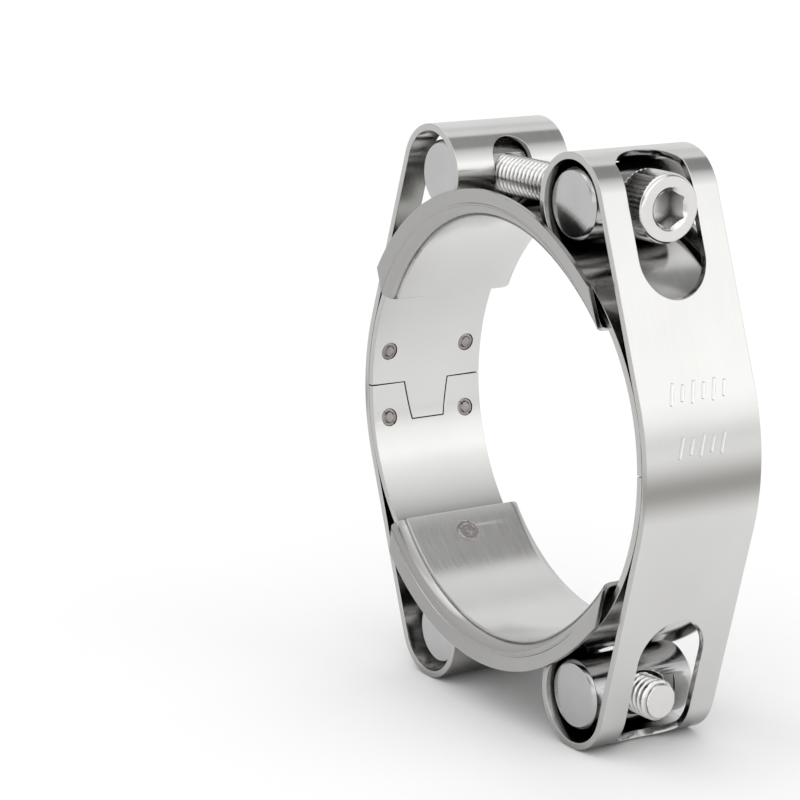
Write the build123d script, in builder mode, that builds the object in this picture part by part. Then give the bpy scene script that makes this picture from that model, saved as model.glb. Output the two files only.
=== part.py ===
"""Two-bolt pipe repair clamp for 50 to 60 mm pipe, built as separate named pieces.

Frame, in mm: the pipe axis is Y, the front looks to -Y, the two screws lie along X and Z is up.
The origin is the centre of the pipe bore. The right half (+X) slides along X towards the left half.
"""

import os
from math import acos, atan2, cos, degrees, hypot, radians, sin, sqrt, tan

from build123d import *

# ---- strip: one folded band per half --------------------------------------------------------
BAND_W = 20.0  # width along the pipe
STRIP_T = 1.05  # sheet thickness
RUN_GAP = 0.08  # air left between the two runs of one strip
APEX_X = 34.4  # inside face of a half, from the bore centre, at mid height
LOOP_R = 7.5  # outside radius of the trunnion loops
LOOP_Z = 35.4  # height of the loop centres above and below the bore centre
LEFT_LOOP_X = 17.9
RIGHT_LOOP_X = 19.1
RIGHT_TILT = 1.84  # degrees the right half leans, foot outwards
HEAD_SLOT_W = 11.4  # slot in the outer run, wide enough for a screw head
HEAD_SLOT_END_Z = 22.9  # its rounded end
SLOT_END_CLEAR = 8.1  # its rounded end is cut from here outwards, clear of the inner run
HEAD_SLOT_CORNER = 52.0  # degrees up the loop where its straight sides stop
HEAD_SLOT_TOP = 76.0  # degrees up the loop where its bowed end stops
SHANK_SLOT_W = 6.7  # slot facing the other half, wide enough for a screw shank
SHANK_SLOT_REACH = 49.0  # degrees it runs each way round the loop
REACH = 60.0  # length of cutting tools that must run right through

# ---- tongue joint of the strip ends, and the spot welds beside it ----------------------------
TONGUE_ROOT = 7.9
TONGUE_TIP = 5.7
TONGUE_DEPTH = 5.9
KERF = 0.14
DOT_Y = 7.1
DOT_Z = 5.3
DOT_D = 2.8
DOT_RECESS = 0.12
BUTTON_D = 1.7
BUTTON_PROUD = 0.1

# ---- bridges: flanged inner shells that close the gap between the halves ---------------------
BRIDGE_R = 31.1  # bore radius
BRIDGE_T = 0.8
FLANGE_Y = 10.65  # inside face of a flange
FLANGE_R = 35.4  # outside radius of a flange
FLANGE_FLARE = 14.0  # degrees a flange leans away from the bore
BEND_R = 1.4  # inside radius of the flange bend
FLANGE_TAPER = 7.0  # degrees over which a flange runs down
FREE_TAPER = 10.0  # and at the end that springs outwards
# each bridge: where it starts, where it starts to open out, where it ends (degrees from +X
# towards +Z), how much flatter it is from there on, and where it is welded
TOP_BRIDGE = (151.5, 66.0, 36.0, 10.0, 48.0)
BOTTOM_BRIDGE = (218.0, 300.0, 331.0, 14.0, 225.0)
BRIDGE_WELD_D = 3.6

# ---- trunnions -------------------------------------------------------------------------------
TRUNNION_R = 5.2
TRUNNION_L = 17.8
TRUNNION_CHAMFER = 0.5
TRUNNION_INSET = 1.24  # the screws pull a trunnion this far off the loop centre
FLAT_AT = 4.75  # spot face, from the trunnion axis
FLAT_LENGTH = 11.0
THREAD_BORE = 6.1
THREAD_MOUTH = 8.0  # countersink where the thread comes out
PLAIN_BORE = 6.2

# ---- M6 x 50 socket screws -------------------------------------------------------------------
SCREW_D = 6.0
SCREW_L = 49.5
HEAD_D = 10.0
HEAD_H = 6.0
HEAD_CHAMFER = 0.5
HEX_AF = 5.0
HEX_DEPTH = 3.0
TIP_CHAMFER = 0.7
SEAT_GAP = 0.02

os.makedirs("parts", exist_ok=True)


def arc_centre(loop_x):
    """Distance from the bore centre to the centre of a half's inner arc, so arc and loops meet tangent."""
    reach = APEX_X + LOOP_R
    return (reach**2 - loop_x**2 - LOOP_Z**2) / (2 * (reach - loop_x))


def side_plane(side, loop_x, tilt):
    """Profile plane of a half: x points away from the other half, y up, origin between its two loops."""
    lean = radians(tilt)
    return Plane(
        origin=(side * loop_x, 0, 0),
        x_dir=(side * cos(lean), 0, sin(lean)),
        z_dir=(0, -side, 0),
    )


def face_plane(side, loop_x, tilt):
    """Plane across a half: x along the pipe, y up, normal pointing away from the other half."""
    lean = radians(tilt)
    return Plane(
        origin=(side * loop_x, 0, 0),
        x_dir=(0, side, 0),
        z_dir=(side * cos(lean), 0, sin(lean)),
    )


def band_outline(arc_x, inner_r, loop_r, outer_r):
    """Closed outline: an arc round the pipe, a loop at each end and the straight-sided outer run."""
    centre = (arc_x, 0)
    meet = degrees(atan2(LOOP_Z, -arc_x))
    leave = meet - degrees(acos((outer_r - loop_r) / hypot(arc_x, LOOP_Z)))
    CenterArc(centre, inner_r, -meet, 2 * meet)
    CenterArc(centre, outer_r, -leave, 2 * leave)
    for up in (1, -1):
        CenterArc((0, up * LOOP_Z), loop_r, up * leave, up * (meet + 180 - leave))
        lift = radians(up * leave)
        Line(
            (arc_x + outer_r * cos(lift), outer_r * sin(lift)),
            (loop_r * cos(lift), up * LOOP_Z + loop_r * sin(lift)),
        )


def strip_pin(side, loop_x, tilt, y, z, diameter, near, far):
    """Round pin square to the inner run, kept between the radii near and far of that run."""
    arc_x = arc_centre(loop_x) - loop_x
    with BuildPart() as pin:
        with BuildSketch(face_plane(side, loop_x, tilt)):
            with Locations((side * y, z)):
                Circle(diameter / 2)
        extrude(amount=REACH)
        with BuildSketch(side_plane(side, loop_x, tilt)):
            with Locations((arc_x, 0)):
                Circle(far)
                Circle(near, mode=Mode.SUBTRACT)
        extrude(amount=BAND_W, both=True, mode=Mode.INTERSECT)
    return pin.part


def joint_kerf(side, loop_x, tilt, arc_x, inner_r):
    """Narrow gap between the two butted strip ends, with the tongue of the upper one."""
    with BuildPart() as kerf:
        with BuildSketch(face_plane(side, loop_x, tilt)):
            Rectangle(2 * BAND_W, KERF)
            Polygon(
                (-TONGUE_ROOT / 2 - KERF, 0),
                (TONGUE_ROOT / 2 + KERF, 0),
                (TONGUE_TIP / 2 + KERF, -TONGUE_DEPTH - KERF),
                (-TONGUE_TIP / 2 - KERF, -TONGUE_DEPTH - KERF),
                align=None,
            )
            Polygon(
                (-TONGUE_ROOT / 2, KERF),
                (TONGUE_ROOT / 2, KERF),
                (TONGUE_TIP / 2, -TONGUE_DEPTH),
                (-TONGUE_TIP / 2, -TONGUE_DEPTH),
                align=None,
                mode=Mode.SUBTRACT,
            )
        extrude(amount=REACH)
        with BuildSketch(side_plane(side, loop_x, tilt)):
            with Locations((arc_x, 0)):
                Circle(inner_r + STRIP_T + RUN_GAP / 2)
        extrude(amount=BAND_W, both=True, mode=Mode.INTERSECT)
    return kerf.part


def arc_degrees(length):
    """Angle round a loop that a length of sheet takes, along the middle of its thickness."""
    return degrees(length / (LOOP_R - STRIP_T / 2))


def loop_cut(side, loop_x, tilt, up, start, end, width):
    """Cutter through a loop's wall between two angles, counted from straight outwards."""
    with BuildPart() as cutter:
        with BuildSketch(side_plane(side, loop_x, tilt)):
            with Locations((0, up * LOOP_Z)):
                Circle(2 * LOOP_R)
                Circle(LOOP_R / 2, mode=Mode.SUBTRACT)
                spokes = [radians(up * angle) for angle in (start, (start + end) / 2, end)]
                rays = [(4 * LOOP_R * cos(turn), 4 * LOOP_R * sin(turn)) for turn in spokes]
                Polygon((0, 0), *rays, align=None, mode=Mode.INTERSECT)
        extrude(amount=width / 2, both=True)
    return cutter.part


def loop_plane(side, loop_x, tilt, up, angle):
    """Plane at a loop's centre that faces out through its wall at an angle, x along the pipe."""
    frame = side_plane(side, loop_x, tilt)
    turn = radians(up * angle)
    centre = frame.from_local_coords((0, up * LOOP_Z, 0))
    outward = frame.from_local_coords((cos(turn), up * LOOP_Z + sin(turn), 0)) - centre
    return Plane(origin=centre, x_dir=(0, side, 0), z_dir=outward)


def head_slot_bow(side, loop_x, tilt, up):
    """Cutter for the bowed end of the head slot, near the top of a loop."""
    rise = LOOP_R * sin(radians(HEAD_SLOT_TOP - HEAD_SLOT_CORNER))
    bow_r = ((HEAD_SLOT_W / 2) ** 2 + rise**2) / (2 * rise)
    with BuildPart() as cutter:
        with BuildSketch(loop_plane(side, loop_x, tilt, up, HEAD_SLOT_CORNER)):
            with Locations((0, up * (rise - bow_r))):
                Circle(bow_r)
            with Locations((0, up * rise / 2)):
                Rectangle(HEAD_SLOT_W, rise, mode=Mode.INTERSECT)
        extrude(amount=2 * LOOP_R)
    return cutter.part


def shank_slot_end(side, loop_x, tilt, up, angle):
    """Cutter for a round end of the shank slot."""
    with BuildPart() as cutter:
        with BuildSketch(loop_plane(side, loop_x, tilt, up, angle)):
            Circle(SHANK_SLOT_W / 2)
        extrude(amount=2 * LOOP_R)
    return cutter.part


def folded_strip(side, loop_x, tilt):
    """Fold one strip: inner run, two loops and outer run, then its slots, joint and weld holes."""
    arc_x = arc_centre(loop_x) - loop_x
    inner_r = APEX_X - arc_centre(loop_x)
    outer_r = inner_r + 2 * STRIP_T + RUN_GAP
    with BuildPart() as strip:
        with BuildSketch(side_plane(side, loop_x, tilt)):
            with BuildLine():
                band_outline(arc_x, inner_r, LOOP_R, outer_r)
            make_face()
            with BuildLine():
                band_outline(arc_x, inner_r + STRIP_T, LOOP_R - STRIP_T, outer_r - STRIP_T)
            make_face(mode=Mode.SUBTRACT)
        extrude(amount=BAND_W / 2, both=True)
        for up in (1, -1):
            with BuildSketch(face_plane(side, loop_x, tilt).offset(SLOT_END_CLEAR)):
                with Locations((0, up * (HEAD_SLOT_END_Z + HEAD_SLOT_W / 2))):
                    Circle(HEAD_SLOT_W / 2)
            extrude(amount=REACH, mode=Mode.SUBTRACT)
            with BuildSketch(face_plane(side, loop_x, tilt).offset(STRIP_T)):
                with Locations((0, up * (HEAD_SLOT_END_Z + HEAD_SLOT_W / 2 + LOOP_Z) / 2)):
                    Rectangle(HEAD_SLOT_W, LOOP_Z - HEAD_SLOT_END_Z - HEAD_SLOT_W / 2)
            extrude(amount=REACH, mode=Mode.SUBTRACT)
            head_slot = loop_cut(side, loop_x, tilt, up, 0, HEAD_SLOT_CORNER, HEAD_SLOT_W)
            add(head_slot, mode=Mode.SUBTRACT)
            add(head_slot_bow(side, loop_x, tilt, up), mode=Mode.SUBTRACT)
            round_at = 180 - SHANK_SLOT_REACH + arc_degrees(SHANK_SLOT_W / 2)
            shank_slot = loop_cut(side, loop_x, tilt, up, round_at, 360 - round_at, SHANK_SLOT_W)
            add(shank_slot, mode=Mode.SUBTRACT)
            for at in (round_at, 360 - round_at):
                add(shank_slot_end(side, loop_x, tilt, up, at), mode=Mode.SUBTRACT)
        add(joint_kerf(side, loop_x, tilt, arc_x, inner_r), mode=Mode.SUBTRACT)
        for y in (-DOT_Y, DOT_Y):
            for z in (-DOT_Z, DOT_Z):
                far = inner_r + STRIP_T + RUN_GAP / 2
                add(strip_pin(side, loop_x, tilt, y, z, DOT_D, 1, far), mode=Mode.SUBTRACT)
    return strip.part


def dots(side, loop_x, tilt):
    """Four spot welds that hold the butted ends of the inner run to the outer run."""
    inner_r = APEX_X - arc_centre(loop_x)
    far = inner_r + STRIP_T + RUN_GAP
    with BuildPart() as welds:
        for y in (-DOT_Y, DOT_Y):
            for z in (-DOT_Z, DOT_Z):
                add(strip_pin(side, loop_x, tilt, y, z, DOT_D, inner_r + DOT_RECESS, far))
                add(strip_pin(side, loop_x, tilt, y, z, BUTTON_D, inner_r - BUTTON_PROUD, far))
    return welds.part


def polar(radius, angle, middle=(0, 0)):
    """Point in the profile plane at this radius and angle about a centre."""
    return (middle[0] + radius * cos(radians(angle)), middle[1] + radius * sin(radians(angle)))


def radial_plane(angle):
    """Plane through the pipe axis: x along the radius at this angle, y along the pipe."""
    turn = radians(angle)
    return Plane(origin=(0, 0, 0), x_dir=(cos(turn), 0, sin(turn)), z_dir=(-sin(turn), 0, cos(turn)))


def weld_pin(angle, near):
    """Radial pin of a bridge weld, starting at the radius near."""
    turn = radians(angle)
    out = Plane(
        origin=(near * cos(turn), 0, near * sin(turn)),
        x_dir=(0, 1, 0),
        z_dir=(cos(turn), 0, sin(turn)),
    )
    with BuildPart() as pin:
        with BuildSketch(out):
            Circle(BRIDGE_WELD_D / 2)
        extrude(amount=BRIDGE_R / 4)
    return pin.part


def shell_profile():
    """Section of a bridge along the pipe: the shell and its two flared flanges."""
    lean = radians(FLANGE_FLARE)
    outer = BRIDGE_R + BRIDGE_T
    lips = []
    for r, y, bend in (
        (outer, FLANGE_Y, BEND_R),
        (BRIDGE_R, FLANGE_Y + BRIDGE_T / cos(lean) - BRIDGE_T * tan(lean), BEND_R + BRIDGE_T),
    ):
        lip = y + (FLANGE_R - r) * tan(lean)
        FilletPolyline((FLANGE_R, -lip), (r, -y), (r, y), (FLANGE_R, lip), radius=bend)
        lips.append(lip)
    for side in (1, -1):
        Line((FLANGE_R, side * lips[0]), (FLANGE_R, side * lips[1]))


def spin_axis(centre, arc):
    """Axis along the pipe through a centre, pointing the way that turns a section by this arc."""
    return Axis((centre[0], 0, centre[1]), (0, 1 if arc > 0 else -1, 0))


def flanged_shell(start, opens, end, flatter, weld_angle):
    """One shell, truly round from start to opens and flatter from there to its free end."""
    turn = 1 if end > start else -1
    centre = (-flatter * cos(radians(opens)), -flatter * sin(radians(opens)))
    # the flatter stretch is as long as the round one would be, so it turns through less
    rest = (end - opens) * BRIDGE_R / (BRIDGE_R + flatter)
    with BuildPart() as shell:
        with BuildSketch(radial_plane(opens)):
            with BuildLine():
                shell_profile()
            make_face()
        revolve(axis=spin_axis((0, 0), opens - start), revolution_arc=abs(opens - start))
        with BuildSketch(radial_plane(opens)):
            with BuildLine():
                shell_profile()
            make_face()
        revolve(axis=spin_axis(centre, -rest), revolution_arc=abs(rest))
        for at, inward, taper, grow, middle, low in (
            (start, turn, FLANGE_TAPER, 0, (0, 0), 33.0),
            (opens + rest, -turn, FREE_TAPER * BRIDGE_R / (BRIDGE_R + flatter), flatter, centre, 32.2),
        ):
            with BuildSketch(Plane.XZ):
                with BuildLine():
                    Polyline(
                        polar(low + grow, at, middle),
                        polar(FLANGE_R + grow + BRIDGE_T, at + inward * taper, middle),
                        polar(FLANGE_R + grow + 2 * BRIDGE_T, at, middle),
                        polar(FLANGE_R + grow, at - inward * taper, middle),
                        polar(low + grow, at, middle),
                    )
                make_face()
            extrude(amount=BAND_W, both=True, mode=Mode.SUBTRACT)
        add(weld_pin(weld_angle, BRIDGE_R - BRIDGE_T), mode=Mode.SUBTRACT)
    return shell.part


def bore_at(opens, flatter, angle):
    """Inside radius of a bridge, from the bore centre, at an angle on its flatter stretch."""
    away = radians(abs(angle - opens))
    return sqrt((BRIDGE_R + flatter) ** 2 - (flatter * sin(away)) ** 2) - flatter * cos(away)


def bridge_weld(side, loop_x, tilt, angle, bore):
    """Weld between a bridge and the inner run it sits on."""
    inner_r = APEX_X - arc_centre(loop_x)
    with BuildPart() as weld:
        add(weld_pin(angle, bore - BUTTON_PROUD))
        with BuildSketch(side_plane(side, loop_x, tilt)):
            with Locations((arc_centre(loop_x) - loop_x, 0)):
                Circle(inner_r)
        extrude(amount=BAND_W, both=True, mode=Mode.INTERSECT)
    return weld.part


def cross_pin(x, z, side, bore, mouth):
    """Cross pin with a spot face on its outward side and the bore for the screw."""
    with BuildPart() as pin:
        with BuildSketch(Plane.XZ):
            with Locations((x, z)):
                Circle(TRUNNION_R)
        extrude(amount=TRUNNION_L / 2, both=True)
        rims = pin.edges().filter_by(GeomType.CIRCLE)
        chamfer(rims, TRUNNION_CHAMFER)
        with Locations((x + side * (FLAT_AT + TRUNNION_R), 0, z)):
            Box(2 * TRUNNION_R, FLAT_LENGTH, 2 * TRUNNION_R, mode=Mode.SUBTRACT)
        with Locations((x, 0, z)):
            Cylinder(bore / 2, 4 * TRUNNION_R, rotation=(0, 90, 0), mode=Mode.SUBTRACT)
        depth = (mouth - bore) / 2
        if depth > 0:
            with Locations((x + side * (FLAT_AT - depth / 2), 0, z)):
                Cone(bore / 2, mouth / 2, depth, rotation=(0, side * 90, 0), mode=Mode.SUBTRACT)
    return pin.part


def socket_screw(seat_x, z, side):
    """Socket head cap screw: the head is on this side, the shank runs to the other half."""
    head = Plane(origin=(seat_x, 0, z), x_dir=(0, 1, 0), z_dir=(side, 0, 0))
    with BuildPart() as screw:
        with BuildSketch(head):
            Circle(SCREW_D / 2)
        extrude(amount=-SCREW_L)
        tip = screw.edges().filter_by(GeomType.CIRCLE).sort_by(Axis.X)
        chamfer(tip[0] if side > 0 else tip[-1], TIP_CHAMFER)
        with BuildSketch(head):
            Circle(HEAD_D / 2)
        extrude(amount=HEAD_H)
        rim = screw.edges().filter_by(GeomType.CIRCLE).sort_by(Axis.X)
        chamfer(rim[-1] if side > 0 else rim[0], HEAD_CHAMFER)
        with BuildSketch(head.offset(HEAD_H)):
            RegularPolygon(HEX_AF / 2, 6, major_radius=False)
        extrude(amount=-HEX_DEPTH, mode=Mode.SUBTRACT)
    return screw.part


# ---- where the trunnions sit -----------------------------------------------------------------
LEAN_X = LOOP_Z * sin(radians(RIGHT_TILT))
LEFT_TRUNNION_X = -(LEFT_LOOP_X - TRUNNION_INSET)
TOP_RIGHT_X = RIGHT_LOOP_X - LEAN_X - TRUNNION_INSET
BOTTOM_RIGHT_X = RIGHT_LOOP_X + LEAN_X - TRUNNION_INSET
LEFT = (-1, LEFT_LOOP_X, 0.0)
RIGHT = (1, RIGHT_LOOP_X, RIGHT_TILT)

with BuildPart() as left_strip:
    add(folded_strip(*LEFT))

with BuildPart() as right_strip:
    add(folded_strip(*RIGHT))

with BuildPart() as left_spot_welds:
    add(dots(*LEFT))

with BuildPart() as right_spot_welds:
    add(dots(*RIGHT))

with BuildPart() as top_bridge:
    add(flanged_shell(*TOP_BRIDGE))

with BuildPart() as bottom_bridge:
    add(flanged_shell(*BOTTOM_BRIDGE))

with BuildPart() as top_bridge_weld:
    add(bridge_weld(*RIGHT, TOP_BRIDGE[4], bore_at(TOP_BRIDGE[1], TOP_BRIDGE[3], TOP_BRIDGE[4])))

with BuildPart() as bottom_bridge_weld:
    add(bridge_weld(*LEFT, BOTTOM_BRIDGE[4], BRIDGE_R))

with BuildPart() as trunnion_top_left:
    add(cross_pin(LEFT_TRUNNION_X, LOOP_Z, -1, THREAD_BORE, THREAD_MOUTH))

with BuildPart() as trunnion_top_right:
    add(cross_pin(TOP_RIGHT_X, LOOP_Z, 1, PLAIN_BORE, PLAIN_BORE))

with BuildPart() as trunnion_bottom_left:
    add(cross_pin(LEFT_TRUNNION_X, -LOOP_Z, -1, PLAIN_BORE, PLAIN_BORE))

with BuildPart() as trunnion_bottom_right:
    add(cross_pin(BOTTOM_RIGHT_X, -LOOP_Z, 1, THREAD_BORE, THREAD_MOUTH))

with BuildPart() as top_screw:
    add(socket_screw(TOP_RIGHT_X + FLAT_AT + SEAT_GAP, LOOP_Z, 1))

with BuildPart() as bottom_screw:
    add(socket_screw(LEFT_TRUNNION_X - FLAT_AT - SEAT_GAP, -LOOP_Z, -1))

left_strip.part.label = "left_strip"
right_strip.part.label = "right_strip"
left_spot_welds.part.label = "left_spot_welds"
right_spot_welds.part.label = "right_spot_welds"
top_bridge.part.label = "top_bridge"
bottom_bridge.part.label = "bottom_bridge"
top_bridge_weld.part.label = "top_bridge_weld"
bottom_bridge_weld.part.label = "bottom_bridge_weld"
trunnion_top_left.part.label = "trunnion_top_left"
trunnion_top_right.part.label = "trunnion_top_right"
trunnion_bottom_left.part.label = "trunnion_bottom_left"
trunnion_bottom_right.part.label = "trunnion_bottom_right"
top_screw.part.label = "top_screw"
bottom_screw.part.label = "bottom_screw"

export_step(left_strip.part, "parts/left_strip.step")
export_step(right_strip.part, "parts/right_strip.step")
export_step(left_spot_welds.part, "parts/left_spot_welds.step")
export_step(right_spot_welds.part, "parts/right_spot_welds.step")
export_step(top_bridge.part, "parts/top_bridge.step")
export_step(bottom_bridge.part, "parts/bottom_bridge.step")
export_step(top_bridge_weld.part, "parts/top_bridge_weld.step")
export_step(bottom_bridge_weld.part, "parts/bottom_bridge_weld.step")
export_step(trunnion_top_left.part, "parts/trunnion_top_left.step")
export_step(trunnion_top_right.part, "parts/trunnion_top_right.step")
export_step(trunnion_bottom_left.part, "parts/trunnion_bottom_left.step")
export_step(trunnion_bottom_right.part, "parts/trunnion_bottom_right.step")
export_step(top_screw.part, "parts/top_screw.step")
export_step(bottom_screw.part, "parts/bottom_screw.step")
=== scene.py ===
# %% [markdown]
# # A two-screw pipe repair clamp, finished for looks
# The clamp is two folded straps of stainless sheet, two flanged inner shells called bridges,
# four cross pins, two M6 socket screws and a few spot welds. The CAD model already has every
# piece at its true size and place. This lesson gives each piece the things that the eye looks
# for in bright metal: rolled edges, real threads, a knurled head, and a finish that follows how
# each piece was made.

# %% Load the CAD frame
import math

import bpy
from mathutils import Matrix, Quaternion, Vector, noise


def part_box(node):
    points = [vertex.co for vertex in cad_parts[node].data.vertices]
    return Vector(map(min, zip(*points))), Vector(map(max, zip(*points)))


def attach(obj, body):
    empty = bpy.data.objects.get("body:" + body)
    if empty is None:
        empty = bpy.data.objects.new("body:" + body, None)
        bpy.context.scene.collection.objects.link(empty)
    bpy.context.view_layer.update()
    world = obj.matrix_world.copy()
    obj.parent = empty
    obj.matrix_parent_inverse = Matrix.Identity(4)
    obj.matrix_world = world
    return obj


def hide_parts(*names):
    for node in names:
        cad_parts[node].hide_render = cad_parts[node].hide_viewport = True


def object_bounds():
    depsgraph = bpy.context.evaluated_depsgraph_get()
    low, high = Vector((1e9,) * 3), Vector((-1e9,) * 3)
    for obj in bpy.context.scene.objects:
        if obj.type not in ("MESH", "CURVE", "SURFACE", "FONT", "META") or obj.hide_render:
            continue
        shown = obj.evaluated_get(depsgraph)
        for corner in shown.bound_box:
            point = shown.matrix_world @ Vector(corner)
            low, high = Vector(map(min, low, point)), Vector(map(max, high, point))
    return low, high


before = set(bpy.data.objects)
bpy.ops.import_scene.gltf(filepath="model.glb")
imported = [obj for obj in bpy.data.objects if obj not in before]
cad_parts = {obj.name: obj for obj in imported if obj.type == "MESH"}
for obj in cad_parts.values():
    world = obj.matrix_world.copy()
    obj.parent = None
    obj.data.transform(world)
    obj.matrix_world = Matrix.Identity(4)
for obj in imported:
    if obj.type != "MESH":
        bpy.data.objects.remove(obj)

cad_low, cad_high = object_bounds()
MM = 0.001
print("nodes", len(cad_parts), "size mm", [round(v / MM, 1) for v in cad_high - cad_low])

# %% [markdown]
# ## Colours and nodes
# Metal colours are easiest to judge as the hex values of a paint program. Those are sRGB, and
# shaders work in linear light, so one function turns one into the other. Another adds a shader
# node, sets it and wires it, and three more stand for the nodes that are wanted most often.


# %% Small helpers for materials
def linear(hex_colour):
    """Linear RGBA of an sRGB hex colour."""
    values = [int(hex_colour[i : i + 2], 16) / 255 for i in (1, 3, 5)]
    bent = [v / 12.92 if v <= 0.04045 else ((v + 0.055) / 1.055) ** 2.4 for v in values]
    return (*bent, 1.0)


def add_node(tree, kind, settings=None, **inputs):
    """Add a node, set its properties, and give each input a value or a link."""
    node = tree.nodes.new(kind)
    for name, value in (settings or {}).items():
        setattr(node, name, value)
    for name, value in inputs.items():
        socket = node.inputs[int(name[1:]) if name[0] == "_" else name.replace("_", " ")]
        if isinstance(value, bpy.types.NodeSocket):
            tree.links.new(value, socket)
        else:
            socket.default_value = value
    return node


def maths(tree, operation, *values):
    """The output of one math node on these values or sockets."""
    inputs = {f"_{i}": value for i, value in enumerate(values)}
    return add_node(tree, "ShaderNodeMath", {"operation": operation}, **inputs).outputs[0]


def remap(tree, value, low, high, ends=(0.0, 1.0), soft=False):
    """Bring a value between low and high to between the two ends, and hold it there."""
    settings = {"interpolation_type": "SMOOTHSTEP"} if soft else None
    scaled = add_node(
        tree,
        "ShaderNodeMapRange",
        settings,
        Value=value,
        From_Min=low,
        From_Max=high,
        To_Min=ends[0],
        To_Max=ends[1],
    )
    return scaled.outputs["Result"]


def blend(tree, share, first, second):
    """The first colour where the share is 0, and the second where it is 1."""
    mix = add_node(tree, "ShaderNodeMix", {"data_type": "RGBA"}, _0=share, _6=first, _7=second)
    return mix.outputs[2]


# %% [markdown]
# ## One recipe for all the steel
# All the finishes share one shader. What differs is how pale and how rough they are, which way
# the grain runs, and where shade and a dark reflection are painted into the colour.

# %% The steel recipe
OUTER_RUN_MM = (35.7, 35.9)
OPEN_AIR = (0.1, 0.75)
GRAIN_SPAN = (0.3, 0.7)
HOLLOW_SPAN = (0.41, 0.51)
RELIEF_MM = 0.02


def on_painted_band(tree, spot, height, half_width):
    """How much a point is on the painted dark reflection band across the outer run."""
    away = maths(tree, "ABSOLUTE", maths(tree, "SUBTRACT", spot.outputs["Z"], height * MM))
    near = remap(tree, away, 0.0, half_width * MM, ends=(1.0, 0.0), soft=True)
    out = maths(tree, "ABSOLUTE", spot.outputs["X"])
    outside = remap(tree, out, OUTER_RUN_MM[0] * MM, OUTER_RUN_MM[1] * MM)
    return maths(tree, "MULTIPLY", near, outside)


def stainless(
    name, pale, dark, rough, swing, grain_mm, patch_mm, bump, crevice,
    rim=None, painted_band=None, groove_shade=None,
):
    """Bare stainless steel: two close greys in soft patches, with grain of a real size in mm.

    The roughness swings a little with the grain. A crevice is the reach in mm and the colour of the
    painted shade in narrow gaps. A rim is where, along the pipe, the colour turns darker, and that
    colour; on the bridges it is painted shade over the bent flanges. A band across the outer run,
    given as height, half width and colour, is a painted dark reflection. The colour at the bottom
    of threads is painted shade.
    """
    material = bpy.data.materials.new(name)
    material.use_nodes = True
    tree = material.node_tree
    shader = tree.nodes["Principled BSDF"]
    place = add_node(tree, "ShaderNodeTexCoord").outputs["Object"]
    patches = add_node(
        tree, "ShaderNodeTexNoise", Vector=place, Scale=1 / (patch_mm * MM), Detail=3.0
    )
    stretch = add_node(
        tree, "ShaderNodeMapping", Vector=place, Scale=[1 / (size * MM) for size in grain_mm]
    )
    grain = add_node(
        tree, "ShaderNodeTexNoise", Vector=stretch.outputs["Vector"], Scale=1.0, Detail=4.0
    ).outputs["Fac"]
    colour = blend(tree, patches.outputs["Fac"], linear(dark), linear(pale))
    spot = add_node(tree, "ShaderNodeSeparateXYZ", Vector=place)
    # Along the pipe the colour turns darker past the rim: on the bridges this is painted shade over
    # the bent flanges, which tones their highlight down.
    if rim:
        inner, outer, darker_grey = rim
        along = maths(tree, "ABSOLUTE", spot.outputs["Y"])
        beyond = remap(tree, along, inner * MM, outer * MM, soft=True)
        colour = blend(tree, beyond, colour, linear(darker_grey))
    # Painted reflection: a dark band across the outer run of the strap.
    if painted_band:
        height, half_width, darker_grey = painted_band
        colour = blend(tree, on_painted_band(tree, spot, height, half_width), colour, linear(darker_grey))
    # Painted shade: ambient occlusion darkens the colour towards the crevice colour in narrow gaps
    # and between parts.
    reach, crevice_shade = crevice
    open_air = add_node(
        tree, "ShaderNodeAmbientOcclusion", {"samples": 8}, Distance=reach * MM
    ).outputs["AO"]
    colour = blend(tree, remap(tree, open_air, *OPEN_AIR), linear(crevice_shade), colour)
    # Painted shade: the colour darkens at the bottom of the threads and the knurl's grooves.
    if groove_shade:
        hollow = add_node(tree, "ShaderNodeNewGeometry").outputs["Pointiness"]
        colour = blend(tree, remap(tree, hollow, *HOLLOW_SPAN), linear(groove_shade), colour)
    polish = remap(tree, grain, *GRAIN_SPAN, ends=(rough - swing, rough + swing))
    relief = add_node(
        tree, "ShaderNodeBump", Height=grain, Strength=bump, Distance=RELIEF_MM * MM
    )
    shader.inputs["Metallic"].default_value = 1.0
    tree.links.new(colour, shader.inputs["Base Color"])
    tree.links.new(polish, shader.inputs["Roughness"])
    tree.links.new(relief.outputs["Normal"], shader.inputs["Normal"])
    print("material", name)
    return material


# %% [markdown]
# ## The finishes
# All the metal is the same alloy, a chromium-nickel stainless steel, and only the making differs.
# The straps are cold-rolled bright strip, so their grain runs round the clamp and is drawn out
# long across X and Z but is short along Y. The bridges were pressed and are more satin. The pins
# were turned from bar, so they are smooth and mirror what is near them. The screws were
# cold-headed and rolled, and are the brightest. A spot weld keeps a brown-grey heat tint.

# %% The steel finishes
# Every finish has painted shade in its narrow gaps, set by its crevice reach and colour.
# Bright strip with a faint drawn grain: the wide pale planes of the clamp.
# Its colour turns darker at its edges along the pipe, and a painted dark reflection band crosses
# the outer run.
cold_rolled = stainless(
    "cold_rolled_strap", "#D8D8D6", "#CECDCB", 0.16, 0.03, (9.0, 0.16, 9.0), 14.0, 0.04,
    (7.0, "#545250"), (9.88, 9.96, "#B9B8B6"), (-1.9, 5.0, "#989693"),
)
# Satin sheet with painted shade on its bent flanges: it sets the bridges off from the straps.
pressed_bridge = stainless(
    "pressed_bridge", "#DADAD8", "#CECDCB", 0.2, 0.03, (4.0, 0.5, 4.0), 9.0, 0.02,
    (3.0, "#4A4947"), (9.7, 11.2, "#A5A4A3"),
)
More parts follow.
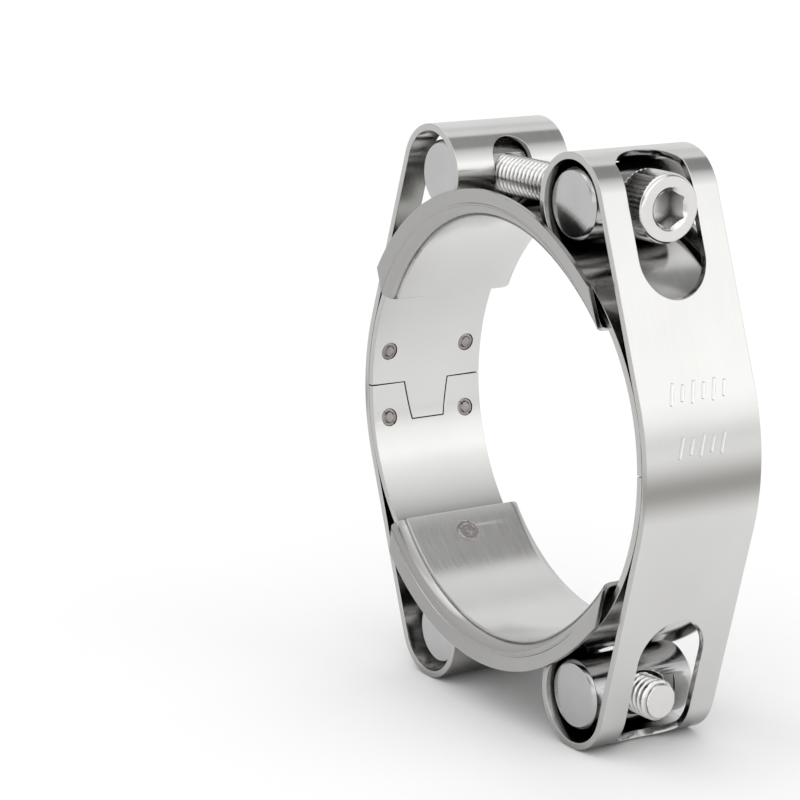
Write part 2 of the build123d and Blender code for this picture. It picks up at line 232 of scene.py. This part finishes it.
# Smooth turned bar, a shade darker than the sheet: it mirrors the loops round it.
turned_pin = stainless(
    "turned_pin", "#BEBEBE", "#B0AFAF", 0.17, 0.04, (0.5, 0.5, 0.5), 4.0, 0.03,
    (1.6, "#4E4D4C"),
)
# The brightest metal here, with painted shade in the threads and the knurl.
bright_screw = stainless(
    "cold_headed_screw", "#E2E1E0", "#D6D5D3", 0.18, 0.03, (1.5, 1.5, 1.5), 3.0, 0.0,
    (1.8, "#3A3938"), groove_shade="#2A2928",
)
# Brown-grey and rough, as steel is where a weld has heated it.
heat_tint = stainless(
    "heat_tinted_weld", "#B2ADAB", "#87827F", 0.34, 0.08, (0.5, 0.5, 0.5), 0.9, 0.6,
    (0.4, "#4E4946"),
)

# %% [markdown]
# ## Rolled and deburred edges
# The CAD straps have knife-sharp edges, and no sheet does. A sharp edge shows no highlight, so it
# looks like a drawing. The cure is a copy of the CAD piece whose loose triangles are merged, whose
# flat faces are joined up again, and whose edges get a narrow bevel. The width is what deburring
# leaves, about a tenth of a millimetre. Weighted normals keep the wide faces flat beside it.


# %% Copy a CAD piece and soften its edges
MERGE_MM = 0.0005
FLAT_ANGLE = math.radians(0.2)
SHARP = math.radians(32)
SMOOTH_ANGLE = math.radians(35)
ROLL_FACET = 0.15 * MM * MM
FLARE_FACET = 0.02 * MM * MM
ROUND_WITHIN = 0.03 * MM
LEAN_ACROSS = 0.02
LEAN_ALONG = 0.98
FLARE_LEAN = 0.9


def only(piece):
    """Select one piece and nothing else, and make it the active one."""
    bpy.ops.object.select_all(action="DESELECT")
    piece.select_set(True)
    bpy.context.view_layer.objects.active = piece


def cut(piece, cutter):
    """Take one solid out of another."""
    only(piece)
    carve = piece.modifiers.new("cut", "BOOLEAN")
    carve.operation = "DIFFERENCE"
    carve.solver = "EXACT"
    carve.object = cutter
    bpy.ops.object.modifier_apply(modifier=carve.name)
    bpy.data.objects.remove(cutter)


def softened(
    node, name, material, body, slot_name, edge_mm, segments=2, spare=None, rolls=(), carve=None
):
    """A copy of a CAD node with deburred edges, standing for that node.

    spare says which edges stay as they are, rolls are the centres of its rolled stretches, and
    carve is any further work on its shape.
    """
    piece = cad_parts[node].copy()
    piece.data = piece.data.copy()
    piece.name = piece.data.name = name
    piece.parent = None
    for key in list(piece.keys()):
        del piece[key]
    bpy.context.scene.collection.objects.link(piece)
    only(piece)
    bpy.ops.object.mode_set(mode="EDIT")
    bpy.ops.mesh.select_all(action="SELECT")
    bpy.ops.mesh.remove_doubles(threshold=MERGE_MM * MM)
    bpy.ops.mesh.dissolve_limited(angle_limit=FLAT_ANGLE)
    bpy.ops.object.mode_set(mode="OBJECT")
    weigh_sharp_edges(piece.data, spare)
    edge = piece.modifiers.new("deburr", "BEVEL")
    edge.width = edge_mm * MM
    edge.segments = segments
    edge.limit_method = "WEIGHT"
    edge.use_clamp_overlap = False
    bpy.ops.object.modifier_apply(modifier=edge.name)
    if carve:
        carve(piece)
    finish(piece, material, body, slot_name, node)
    if rolls:
        true_rolls(piece.data, rolls)
    return piece


def weigh_sharp_edges(mesh, spare):
    """Mark each edge sharper than SHARP for the bevel, but none that spare(middle) keeps."""
    sides = {}
    for face in mesh.polygons:
        for key in face.edge_keys:
            sides.setdefault(key, []).append(face.normal)
    weights = mesh.attributes.new("bevel_weight_edge", "FLOAT", "EDGE")
    for edge in mesh.edges:
        normals = sides.get(edge.key, [])
        if len(normals) != 2 or normals[0].angle(normals[1], 0.0) < SHARP:
            continue
        middle = (mesh.vertices[edge.vertices[0]].co + mesh.vertices[edge.vertices[1]].co) / 2
        if not (spare and spare(middle)):
            weights.data[edge.index].value = 1.0


def spoke(point, centre):
    """The way out from a centre, given as (x, z) in mm, to a point, seen along the pipe."""
    return Vector((point.x - centre[0] * MM, 0, point.z - centre[1] * MM))


def true_rolls(mesh, centres):
    """Shade each facet of a roll about a Y axis as part of one true cylinder.

    Facets that lean along the pipe belong to bends and holes, and keep their smoothed normals.
    """
    normals = [corner.vector.copy() for corner in mesh.corner_normals]
    for face in mesh.polygons:
        lean = abs(face.normal.y)
        if face.area < ROLL_FACET or LEAN_ACROSS < lean < LEAN_ALONG:
            continue
        points = [mesh.vertices[i].co for i in face.vertices]
        centre = next((c for c in centres if on_roll(face, points, c)), None)
        for corner, point in zip(face.loop_indices, points):
            if centre is None:
                normals[corner] = face.normal.copy()
            else:
                out = spoke(point, centre).normalized()
                normals[corner] = out if out.dot(face.normal) > 0 else -out
    mesh.normals_split_custom_set(normals)


def on_roll(face, points, centre):
    """Whether a facet lies on a cylinder about this centre."""
    spokes = [spoke(point, centre) for point in points]
    lengths = [out.length for out in spokes]
    middle = sum(spokes, Vector()).normalized()
    return max(lengths) - min(lengths) < ROUND_WITHIN and abs(middle.dot(face.normal)) > 0.99


def true_flares(mesh, centres):
    """Shade the leaning flanges of a bridge as true cones about the centres of its bends."""
    normals = [corner.vector.copy() for corner in mesh.corner_normals]
    for face in mesh.polygons:
        if not FLARE_LEAN < abs(face.normal.y) < LEAN_ALONG or face.area < FLARE_FACET:
            continue
        slope = Vector((face.normal.x, 0, face.normal.z))
        spreads = [spoke(face.center, centre).normalized().dot(slope) for centre in centres]
        best = max(range(len(centres)), key=lambda i: abs(spreads[i]))
        along = Vector((0, face.normal.y, 0))
        for corner, i in zip(face.loop_indices, face.vertices):
            out = spoke(mesh.vertices[i].co, centres[best]).normalized()
            normals[corner] = (out * spreads[best] + along).normalized()
    mesh.normals_split_custom_set(normals)


def finish(piece, material, body, slot_name, *nodes):
    """Shade a piece smoothly, give it its finish, and hang it on its body in place of its nodes."""
    only(piece)
    bpy.ops.object.shade_smooth_by_angle(angle=SMOOTH_ANGLE)
    flat = piece.modifiers.new("flat faces stay flat", "WEIGHTED_NORMAL")
    flat.keep_sharp = True
    bpy.ops.object.modifier_apply(modifier=flat.name)
    piece.data.materials.clear()
    piece.data.materials.append(material)
    if nodes:
        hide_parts(*nodes)
    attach(piece, body)
    print(piece.name, "faces", len(piece.data.polygons))


# The centres of each strap's rolls, as (x, z) in mm: the outer run, then the two loops. The right
# half leans by TILT.
TILT = math.radians(1.84)
LOOP_Z = 35.4
LEFT_ROLLS = ((-3.79, 0), (-17.9, LOOP_Z), (-17.9, -LOOP_Z))
RIGHT_ROLLS = (
    (3.03, -0.52),
    (19.1 - LOOP_Z * math.sin(TILT), LOOP_Z * math.cos(TILT)),
    (19.1 + LOOP_Z * math.sin(TILT), -LOOP_Z * math.cos(TILT)),
)


DOT_Y, DOT_Z, DOT_REACH = 7.1, 5.3, 2.1
OUTER_RUN_X = 36


def near_spot_weld(place):
    """Whether a place is at the rim of a spot weld's dimple, which is too shallow to bevel."""
    x, y, z = (abs(v) / MM for v in place)
    return math.hypot(y - DOT_Y, z - DOT_Z) < DOT_REACH and x < OUTER_RUN_X


# %% The two straps
STRAP_EDGE = 0.12


def strap(side, rolls):
    """One folded strap."""
    return softened(
        f"{side}_strip", f"{side}_strap", cold_rolled, f"{side}_half", "strip_steel", STRAP_EDGE,
        spare=near_spot_weld, rolls=rolls,
    )


strap("left", LEFT_ROLLS)
right_strap = strap("right", RIGHT_ROLLS)

# %% [markdown]
# ## Stamped strokes
# Straps like this carry a stamped mark on the outer run. Here it says nothing: it is two short
# rows of slanted strokes. A punch leaves a round-bottomed groove, so each stroke is cut by a thin
# rounded bar that lies almost clear of the surface, only its belly reaching into the steel.

# %% Cut the strokes into the right strap
STROKE_R = 0.42
STROKE_DEPTH = 0.16
STROKE_SLANT = math.radians(-16)
STROKE_LENGTHS = (2.7, 1.9)
STROKE_ROWS = (
    (11.2, (-4.4, -2.6, -0.8, 1.0, 2.8, 4.6)),
    (4.0, (-3.9, -2.1, -0.3, 1.5, 3.3)),
)
# The outer run is an arc of this radius up to RUN_ANGLE degrees, and straight above that.
PLATE_R = 33.56
PLATE_CENTRE = RIGHT_ROLLS[0]
RUN_ANGLE = 19.5


def plate_point(height):
    """Where the outer run's surface is at this height, and how far it leans, on the right half."""
    lean = math.asin((height - PLATE_CENTRE[1]) / PLATE_R)
    top = math.radians(RUN_ANGLE)
    if lean < top:
        return PLATE_CENTRE[0] + PLATE_R * math.cos(lean), lean
    edge = PLATE_CENTRE[1] + PLATE_R * math.sin(top)
    return PLATE_CENTRE[0] + PLATE_R * math.cos(top) - (height - edge) * math.tan(top), top


def stroke_bar(across, height, length, slant):
    """A thin round-ended bar lying on the outer run."""
    x, lean = plate_point(height)
    lift = STROKE_R - STROKE_DEPTH
    bpy.ops.object.select_all(action="DESELECT")
    bpy.ops.mesh.primitive_uv_sphere_add(segments=16, ring_count=10, radius=STROKE_R * MM)
    bar = bpy.context.object
    for point in bar.data.vertices:
        point.co.z += math.copysign(length / 2 * MM, point.co.z) if abs(point.co.z) > 1e-6 else 0
    bar.rotation_euler = (slant, -lean, 0)
    out = Vector((math.cos(lean), 0, math.sin(lean)))
    bar.location = (Vector((x, across, height)) + out * lift) * MM
    bpy.ops.object.transform_apply(location=True, rotation=True)
    return bar


strokes = []
for height, row in STROKE_ROWS:
    for number, across in enumerate(row):
        length = STROKE_LENGTHS[number % 2]
        strokes.append(stroke_bar(across, height, length, STROKE_SLANT))
bpy.ops.object.select_all(action="DESELECT")
for bar in strokes:
    bar.select_set(True)
bpy.context.view_layer.objects.active = strokes[0]
bpy.ops.object.join()
cut(right_strap, strokes[0])
true_rolls(right_strap.data, RIGHT_ROLLS)
print("strokes", len(strokes))

# %% The two bridges
CREASE_R = 33.1
CREASE_Y = 11.94
CREASE_WIRE = 0.3
BRIDGE_EDGE = 0.14


def free_end_centre(opens, flatter):
    """Centre of the flatter stretch at a bridge's free end."""
    return (-flatter * math.cos(math.radians(opens)), -flatter * math.sin(math.radians(opens)))


def crease(shell):
    """Roll the fine line round both flanges, where the press held the blank."""
    for side in (-1, 1):
        bpy.ops.object.select_all(action="DESELECT")
        bpy.ops.mesh.primitive_torus_add(
            major_radius=CREASE_R * MM,
            minor_radius=CREASE_WIRE * MM,
            major_segments=180,
            minor_segments=10,
            location=(0, side * CREASE_Y * MM, 0),
            rotation=(math.pi / 2, 0, 0),
        )
        cut(shell, bpy.context.object)


def shell(node, name, body, opens, flatter):
    """One bridge with its crease, shaded as the true rolls and cones that it is made of."""
    bends = ((0, 0), free_end_centre(opens, flatter))
    piece = softened(
        node, name, pressed_bridge, body, "bridge_steel", BRIDGE_EDGE, rolls=bends, carve=crease
    )
    true_flares(piece.data, bends)


shell("top_bridge", "top_shell", "right_half", 66, 10)
shell("bottom_bridge", "bottom_shell", "left_half", 300, 14)

# %% The four cross pins
for node, body in (
    ("trunnion_top_left", "left_half"),
    ("trunnion_bottom_left", "left_half"),
    ("trunnion_top_right", "right_half"),
    ("trunnion_bottom_right", "right_half"),
):
    softened(node, node.replace("trunnion", "pin"), turned_pin, body, "pin_steel", 0.08)

# %% The spot welds
LUMP_SIZE = 4.0
LUMP_GRID = 40
LUMP_WALL = 0.3
RING_R, RING_WIDTH, RING_HEIGHT = 1.45, 0.22, 0.17
CORE_WIDTH, CORE_HEIGHT = 0.75, 0.15
LUMPS_PER_MM, LUMPS_HEIGHT = 2.3, 0.16
SUNK, SKIRT = 0.05, 0.12

for side in ("left", "right"):
    softened(
        f"{side}_spot_welds", f"{side}_dots", heat_tint, f"{side}_half", "weld_steel", 0.16, 3
    )


def nugget(weld):
    """Add the spatter ring and the lumpy middle of a weld on the face that looks at the pipe."""
    points = [point.co for point in weld.data.vertices]
    middle = sum(points, Vector()) / len(points)
    inward = -Vector((middle.x, 0, middle.z)).normalized()
    face = middle + inward * max((point - middle).dot(inward) for point in points)
    bpy.ops.object.select_all(action="DESELECT")
    bpy.ops.mesh.primitive_grid_add(
        x_subdivisions=LUMP_GRID, y_subdivisions=LUMP_GRID, size=LUMP_SIZE * MM
    )
    lump = bpy.context.object
    for point in lump.data.vertices:
        x, y = point.co.x / MM, point.co.y / MM
        reach = max(abs(x), abs(y))
        spread = math.hypot(x, y) or 1
        x, y = x * reach / spread, y * reach / spread
        ring = math.exp(-(((reach - RING_R) / RING_WIDTH) ** 2)) * RING_HEIGHT
        core = math.exp(-((reach / CORE_WIDTH) ** 2)) * CORE_HEIGHT
        place = Vector((x * LUMPS_PER_MM, y * LUMPS_PER_MM, middle.z / MM))
        share = reach / (LUMP_SIZE / 2)
        rough = noise.noise(place) * LUMPS_HEIGHT * max(0.0, 1 - share**4)
        point.co = Vector((x, y, ring + core + rough - SUNK - SKIRT * share**8)) * MM
    only(lump)
    wall = lump.modifiers.new("thickness", "SOLIDIFY")
    wall.thickness = LUMP_WALL * MM
    bpy.ops.object.modifier_apply(modifier=wall.name)
    lump.rotation_mode = "QUATERNION"
    lump.rotation_quaternion = inward.to_track_quat("Z", "Y")
    lump.location = face
    bpy.ops.object.transform_apply(location=True, rotation=True)
    bpy.ops.object.select_all(action="DESELECT")
    lump.select_set(True)
    weld.select_set(True)
    bpy.context.view_layer.objects.active = weld
    bpy.ops.object.join()


for end, body in (("top", "right_half"), ("bottom", "left_half")):
    softened(
        f"{end}_bridge_weld", f"{end}_shell_weld", heat_tint, body, "weld_steel", 0.2, 3,
        carve=nugget,
    )

# %% [markdown]
# ## The socket screws
# An M6 socket screw is a cold-headed blank with a rolled thread. What the eye reads first is the
# helix of the thread, then the straight knurl round the head, then the hexagon. The thread is a
# fine grid rolled into a tube, with each point drawn in towards the axis by how far it lies from
# the helix's crest. That gives one clean closed surface, where a swept tooth would leave seams.
# The screw is made pointing along Z, head below, then laid along X where the CAD screw is.

# %% Screw sizes
PITCH = 1.0
THREAD_DEPTH = 0.58
CREST_R = 3.0
SHANK_L = 49.5
TIP_FLAT_R = 2.4
RINGS_PER_PITCH = 10
ROUND_STEPS = 40
HEAD_R = 5.0
HEAD_H = 6.0
KNURLS = 44
KNURL_DEPTH = 0.4
KNURL_RINGS = (-5.78, -5.4, -5.05, -0.5, -0.2)
RIM_SHARES = {-6.0: 0.9, -5.78: 0.955, -5.4: 0.985, 0.0: 0.95, -0.2: 0.985}
HEX_FLATS = 5.0
HEX_DEPTH = 3.4
HEX_TURN = math.radians(30)
HEAD_EDGE = 0.07
HEAD_SHARP = math.radians(38)


# %% Roll a grid into a threaded shank
def thread_radius(turn, height):
    """Radius of the thread at this turn round the axis and this height under the head, in mm."""
    phase = (height / PITCH - turn / math.tau) % 1.0
    away = abs(2 * phase - 1)
    depth = THREAD_DEPTH * min(1.0, max(0.0, (1 - away - 0.14) / 0.62))
    return min(CREST_R - depth, TIP_FLAT_R + (SHANK_L - height) * 0.9)


def threaded_shank():
    """A closed threaded rod from the head's seat at Z = 0 up to its tip."""
    bpy.ops.object.select_all(action="DESELECT")
    rings = int(SHANK_L / PITCH * RINGS_PER_PITCH)
    bpy.ops.mesh.primitive_grid_add(x_subdivisions=ROUND_STEPS, y_subdivisions=rings, size=2)
    shank = bpy.context.object
    for point in shank.data.vertices:
        turn = math.pi * point.co.x
        height = (point.co.y + 1) / 2 * SHANK_L
        r = thread_radius(turn, height)
        point.co = (r * math.cos(turn) * MM, r * math.sin(turn) * MM, height * MM)
    bpy.ops.object.mode_set(mode="EDIT")
    bpy.ops.mesh.select_all(action="SELECT")
    bpy.ops.mesh.remove_doubles(threshold=MERGE_MM * MM)
    bpy.ops.mesh.fill_holes(sides=0)
    bpy.ops.mesh.select_all(action="SELECT")
    bpy.ops.mesh.normals_make_consistent(inside=False)
    bpy.ops.object.mode_set(mode="OBJECT")
    return shank


# %% [markdown]
# ## The head
# The head starts as a cylinder with two sides for each ridge of the knurl. Bisecting it adds the
# rings where the knurl starts and stops. Every second point between them is drawn in, which makes
# the ridges, and the last rings are drawn in all round, which makes the turned rim. The hexagon
# and its countersink are cut out of it.


# %% Make the knurled head with its hexagon
def knurled_head():
    """The head, its face looking down at Z = -HEAD_H."""
    bpy.ops.object.select_all(action="DESELECT")
    bpy.ops.mesh.primitive_cylinder_add(
        vertices=2 * KNURLS,
        radius=HEAD_R * MM,
        depth=HEAD_H * MM,
        location=(0, 0, -HEAD_H / 2 * MM),
    )
    head = bpy.context.object
    bpy.ops.object.transform_apply(location=True)
    bpy.ops.object.mode_set(mode="EDIT")
    for height in KNURL_RINGS:
        bpy.ops.mesh.select_all(action="SELECT")
        bpy.ops.mesh.bisect(plane_co=(0, 0, height * MM), plane_no=(0, 0, 1))
    bpy.ops.object.mode_set(mode="OBJECT")
    for point in head.data.vertices:
        height = round(point.co.z / MM, 2)
        ridge = round(math.atan2(point.co.y, point.co.x) / math.pi * KNURLS)
        if height in RIM_SHARES:
            share = RIM_SHARES[height]
        else:
            share = 1 - (KNURL_DEPTH / HEAD_R if ridge % 2 else 0)
        point.co.x *= share
        point.co.y *= share
    bpy.ops.object.select_all(action="DESELECT")
    bpy.ops.mesh.primitive_cylinder_add(
        vertices=6,
        radius=HEX_FLATS / math.sqrt(3) * MM,
        depth=2 * HEX_DEPTH * MM,
        location=(0, 0, -HEAD_H * MM),
        rotation=(0, 0, HEX_TURN),
    )
    cut(head, bpy.context.object)
    bpy.ops.object.select_all(action="DESELECT")
    bpy.ops.mesh.primitive_cone_add(
        vertices=64,
        radius1=3.6 * MM,
        radius2=2.6 * MM,
        depth=1.0 * MM,
        location=(0, 0, -HEAD_H * MM),
    )
    cut(head, bpy.context.object)
    only(head)
    edge = head.modifiers.new("deburr", "BEVEL")
    edge.width = HEAD_EDGE * MM
    edge.segments = 2
    edge.limit_method = "ANGLE"
    edge.angle_limit = HEAD_SHARP
    bpy.ops.object.modifier_apply(modifier=edge.name)
    return head


# %% Lay the screws where the CAD screws are
def socket_screw(name, node, body, points_left):
    """One whole screw, laid along X with its tip to the left or to the right."""
    shank = threaded_shank()
    head = knurled_head()
    bpy.ops.object.select_all(action="DESELECT")
    shank.select_set(True)
    head.select_set(True)
    bpy.context.view_layer.objects.active = head
    bpy.ops.object.join()
    low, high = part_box(node)
    seat_x = high.x - HEAD_H * MM if points_left else low.x + HEAD_H * MM
    head.name = head.data.name = name
    head.rotation_euler = (0, -math.pi / 2 if points_left else math.pi / 2, 0)
    head.location = (seat_x, 0, (low.z + high.z) / 2)
    bpy.ops.object.transform_apply(location=True, rotation=True)
    finish(head, bright_screw, body, "screw_steel", node)


socket_screw("top_socket_screw", "top_screw", "top_screw", True)
socket_screw("bottom_socket_screw", "bottom_screw", "bottom_screw", False)

# %% [markdown]
# ## The studio
# Bright metal shows the room more than itself. The room here is plain: a pale floor, one wide
# soft light overhead, and a sky of soft grey bands that run along Y like long panels. The rolled
# straps pick the bands up one after another, and that is what makes them read as round.

# %% Floor
FLOOR_M = 60
bpy.ops.object.select_all(action="DESELECT")
bpy.ops.mesh.primitive_plane_add(size=FLOOR_M, location=(0, 0, cad_low.z))
floor = bpy.context.object
floor.name = "studio_floor"
# Matt white paper: it takes the soft shadow and shows nothing of its own.
paper = bpy.data.materials.new("white_paper")
paper.use_nodes = True
paper.node_tree.nodes["Principled BSDF"].inputs["Base Color"].default_value = linear("#FAFAFA")
paper.node_tree.nodes["Principled BSDF"].inputs["Roughness"].default_value = 0.9
floor.data.materials.append(paper)


# %% Light
OVERHEAD = Vector((0.2, -0.25, 1))
sun = bpy.data.lights.new("overhead_box", "SUN")
sun.angle = math.radians(86)
sun.energy = 1.0
sun_holder = bpy.data.objects.new("overhead_box", sun)
bpy.context.scene.collection.objects.link(sun_holder)
sun_holder.rotation_euler = (-OVERHEAD).to_track_quat("-Z", "Y").to_euler()

# %% Sky
SKY_STRENGTH = 1.6
SKY = (
    (-180, "#A0A0A0"),
    (-8, "#B8B8B8"),
    (4, "#D0D0D0"),
    (12, "#EAEAEA"),
    (20, "#F2F2F2"),
    (25, "#F8F8F8"),
    (32, "#E4E4E4"),
    (42, "#D4D4D4"),
    (52, "#C0C0C0"),
    (59, "#AAAAAA"),
    (64, "#808080"),
    (94, "#7A7A7A"),
    (97, "#C8C8C8"),
    (104, "#CACACA"),
    (122, "#BCBCBC"),
    (135, "#CCCCCC"),
    (165, "#C4C4C4"),
    (180, "#B8B8B8"),
)
world = bpy.data.worlds.new("studio_sky")
bpy.context.scene.world = world
world.use_nodes = True
sky = world.node_tree
sky.nodes.clear()
look = add_node(sky, "ShaderNodeTexCoord").outputs["Generated"]
split = add_node(sky, "ShaderNodeSeparateXYZ", Vector=look)
turn = maths(sky, "ARCTAN2", split.outputs["Z"], split.outputs["X"])
bands = add_node(sky, "ShaderNodeValToRGB", Fac=remap(sky, turn, -math.pi, math.pi))
ramp = bands.color_ramp
while len(ramp.elements) < len(SKY):
    ramp.elements.new(0.5)
for stop, (degrees, grey) in zip(ramp.elements, SKY):
    stop.position = (degrees + 180) / 360
    stop.color = linear(grey)
soft_sky = add_node(
    sky, "ShaderNodeBackground", Color=bands.outputs["Color"], Strength=SKY_STRENGTH
)
plain = add_node(sky, "ShaderNodeBackground", Color=linear("#FFFFFF"), Strength=1.0)
seen = add_node(sky, "ShaderNodeLightPath").outputs["Is Camera Ray"]
both = add_node(sky, "ShaderNodeMixShader", _0=seen, _1=soft_sky.outputs[0], _2=plain.outputs[0])
add_node(sky, "ShaderNodeOutputWorld", Surface=both.outputs[0])
bpy.context.scene.view_settings.view_transform = "Standard"

# %% [markdown]
# ## The camera
# A long lens from the front right, a little above the clamp, which keeps the two loops nearly the
# same size.

# %% Camera
AZIMUTH, ELEVATION, ROLL = math.radians(57.91), math.radians(12.83), math.radians(0.16)
DISTANCE, ASIDE, RAISED = 410.8 * MM, -22.40 * MM, 3.10 * MM
level = Vector((math.sin(AZIMUTH), -math.cos(AZIMUTH), 0))
back = level * math.cos(ELEVATION) + Vector((0, 0, math.sin(ELEVATION)))
right = Vector((math.cos(AZIMUTH), math.sin(AZIMUTH), 0))
up = back.cross(right)
lens = bpy.data.cameras.new("long_lens")
lens.sensor_width = 36
lens.lens = 124.9
lens.clip_start = 0.01
lens.clip_end = 20
camera = bpy.data.objects.new("camera", lens)
bpy.context.scene.collection.objects.link(camera)
camera.location = right * ASIDE + up * RAISED + back * DISTANCE
tilt = (-back).to_track_quat("-Z", "Y")
tilt.rotate(Quaternion(back, ROLL))
camera.rotation_mode = "QUATERNION"
camera.rotation_quaternion = tilt
bpy.context.scene.camera = camera
